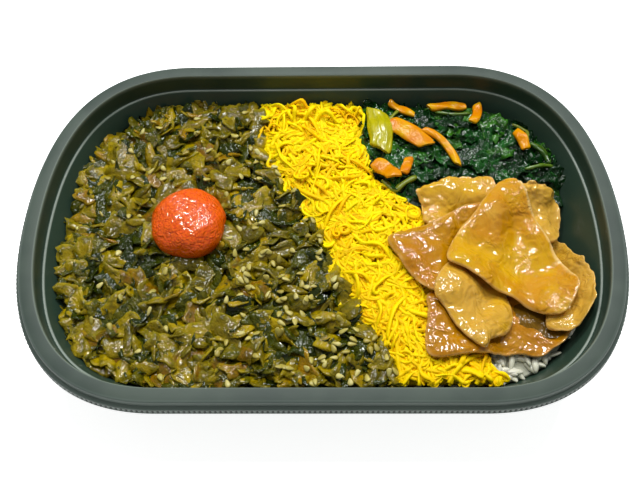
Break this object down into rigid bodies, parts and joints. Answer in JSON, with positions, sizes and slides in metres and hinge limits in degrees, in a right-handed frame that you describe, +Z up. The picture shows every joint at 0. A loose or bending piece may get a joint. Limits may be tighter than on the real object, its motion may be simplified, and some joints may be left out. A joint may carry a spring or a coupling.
{
  "type": "bento box meal",
  "caption": "Oval plastic takeaway tray of rice topped with pickled greens, cod roe, shredded omelette, spinach with carrot, and glazed pork slices.",
  "frame": {"origin": "under the middle of the tray, on the surface that the tray stands on", "axes": "+X along the tray towards the pork, +Y across it towards the spinach, +Z up"},
  "size_m": [0.2056, 0.1372, 0.036],
  "materials": {
    "tray_plastic": "dark green-black thermoformed plastic, satin rim",
    "rice": "steamed white rice, moist",
    "greens": "chopped pickled greens, wet olive",
    "roe": "orange-red fine-grained cod roe, wet",
    "omelette": "yellow shredded omelette",
    "spinach": "cooked spinach leaves, wet dark green",
    "carrot": "cooked carrot, orange",
    "stalk": "cooked pale green stalk",
    "pork": "golden brown glazed sliced pork"
  },
  "bodies": {
    "root": {"tray": "tray_plastic", "rice_bed": "rice", "mustard_greens": "greens", "cod_roe": "roe", "egg_shreds": "omelette", "spinach_mix": "spinach", "pale_stalk": "stalk", "carrot_strip_1": "carrot", "carrot_strip_2": "carrot", "carrot_strip_3": "carrot", "carrot_strip_4": "carrot", "carrot_strip_5": "carrot", "carrot_strip_6": "carrot", "carrot_strip_7": "carrot", "carrot_strip_8": "carrot", "pork_slice_1": "pork", "pork_slice_2": "pork", "pork_slice_3": "pork", "pork_slice_4": "pork", "pork_slice_5": "pork", "pork_slice_6": "pork", "pork_slice_7": "pork"}
  },
  "joints": []
}
